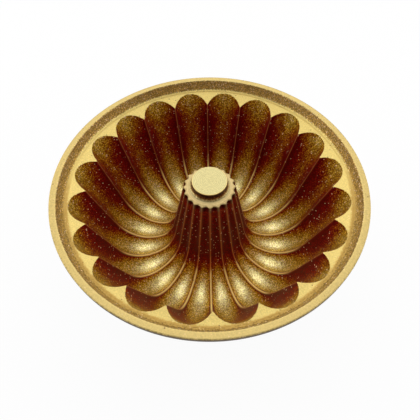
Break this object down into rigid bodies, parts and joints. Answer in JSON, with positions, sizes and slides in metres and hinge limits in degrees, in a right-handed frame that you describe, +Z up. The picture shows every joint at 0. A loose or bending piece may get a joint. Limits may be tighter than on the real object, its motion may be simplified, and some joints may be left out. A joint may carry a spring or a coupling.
{
  "type": "fluted tube pan",
  "caption": "Round fluted tube pan in cast metal: broad flat rim with a raised lip, flutes that run over the floor and up a tapered centre tube closed by a round plug.",
  "frame": {"origin": "under the middle of the pan, on the plane of the flats that it rests on, open side up", "axes": "+Z up along the tube, which is the axis of the flutes; +X and +Y each run along a crest between two flutes"},
  "size_m": [0.28, 0.28, 0.1156],
  "materials": {
    "stone_coating": "satin gold stone-effect non-stick coating with fine light and dark specks, on cast aluminium",
    "plug_coating": "the same gold coating over a turned face, with faint turning rings and few specks"
  },
  "bodies": {
    "root": {"pan_casting": "stone_coating", "tube_plug": "plug_coating"}
  },
  "joints": []
}
